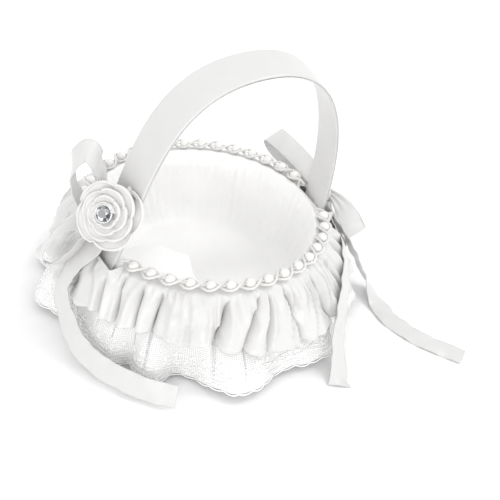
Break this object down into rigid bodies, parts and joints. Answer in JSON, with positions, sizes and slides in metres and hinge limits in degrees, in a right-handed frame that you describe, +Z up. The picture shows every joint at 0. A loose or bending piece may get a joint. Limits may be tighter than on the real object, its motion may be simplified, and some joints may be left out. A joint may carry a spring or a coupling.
{
  "type": "flower girl basket",
  "caption": "Small round white satin basket with a gathered satin and lace skirt, pearl trim round the rim, a flat ribbon handle, a ribbon rose with a clear stone, and bows with loose tails.",
  "frame": {"origin": "centre of the base's underside, on the surface that the basket stands on", "axes": "+Z up along the bowl's axis; +X along the handle's span, from the foot with the rose to the foot with the bow; -Y is the side that the picture shows"},
  "size_m": [0.221, 0.2233, 0.1585],
  "materials": {
    "card": "plain grey-brown board",
    "foam": "soft white foam",
    "glue": "set hot-melt glue",
    "strip_plastic": "smooth white plastic strip",
    "pearl": "pearlescent lacquer",
    "braid": "twisted white cord",
    "lace": "sheer net with embroidered scallops",
    "lining_satin": "satin",
    "skirt_satin": "satin",
    "felt": "white felt",
    "rose_satin": "satin",
    "ribbon": "satin with a woven edge",
    "stone": "faceted clear stone with a foiled back",
    "setting": "polished"
  },
  "bodies": {
    "root": {"base_cover": "skirt_satin", "base_card": "card", "wall_card": "card", "outer_cover": "skirt_satin", "floor_pad": "foam", "lining_floor": "lining_satin", "lining_wall": "lining_satin", "lace_skirt": "lace", "satin_skirt": "skirt_satin", "rim_pearls": "pearl", "pearl_thread": "braid", "braid_cord_a": "braid", "braid_cord_b": "braid", "handle_core": "strip_plastic", "handle_outer_ribbon": "ribbon", "handle_inner_ribbon": "ribbon", "handle_glue": "glue", "near_rose_backing": "felt", "near_rose_outer_petals": "rose_satin", "near_rose_inner_petals": "rose_satin", "near_rose_heart": "rose_satin", "near_stone_setting": "setting", "near_stone": "stone", "near_bow_knot": "ribbon", "near_bow_upper_loop": "ribbon", "near_bow_side_loop": "ribbon", "far_bow_knot": "ribbon", "far_bow_back_loop": "ribbon", "far_bow_front_loop": "ribbon"},
    "near_tail": {"near_tail": "ribbon"},
    "far_long_tail": {"far_long_tail": "ribbon"},
    "far_short_tail": {"far_short_tail": "ribbon"}
  },
  "joints": [
    {"name": "near_tail_swing", "type": "hinge", "parent": "root", "child": "near_tail", "pos_m": [-0.086, 0, 0.04], "axis": [0, 0, -1], "range_deg": [0, 30]},
    {"name": "far_long_tail_swing", "type": "hinge", "parent": "root", "child": "far_long_tail", "pos_m": [0.084, -0.032, 0.038], "axis": [0, 0, 1], "range_deg": [0, 40]},
    {"name": "far_short_tail_swing", "type": "hinge", "parent": "root", "child": "far_short_tail", "pos_m": [0.076, -0.03, 0.042], "axis": [0, 0, 1], "range_deg": [0, 18]}
  ]
}
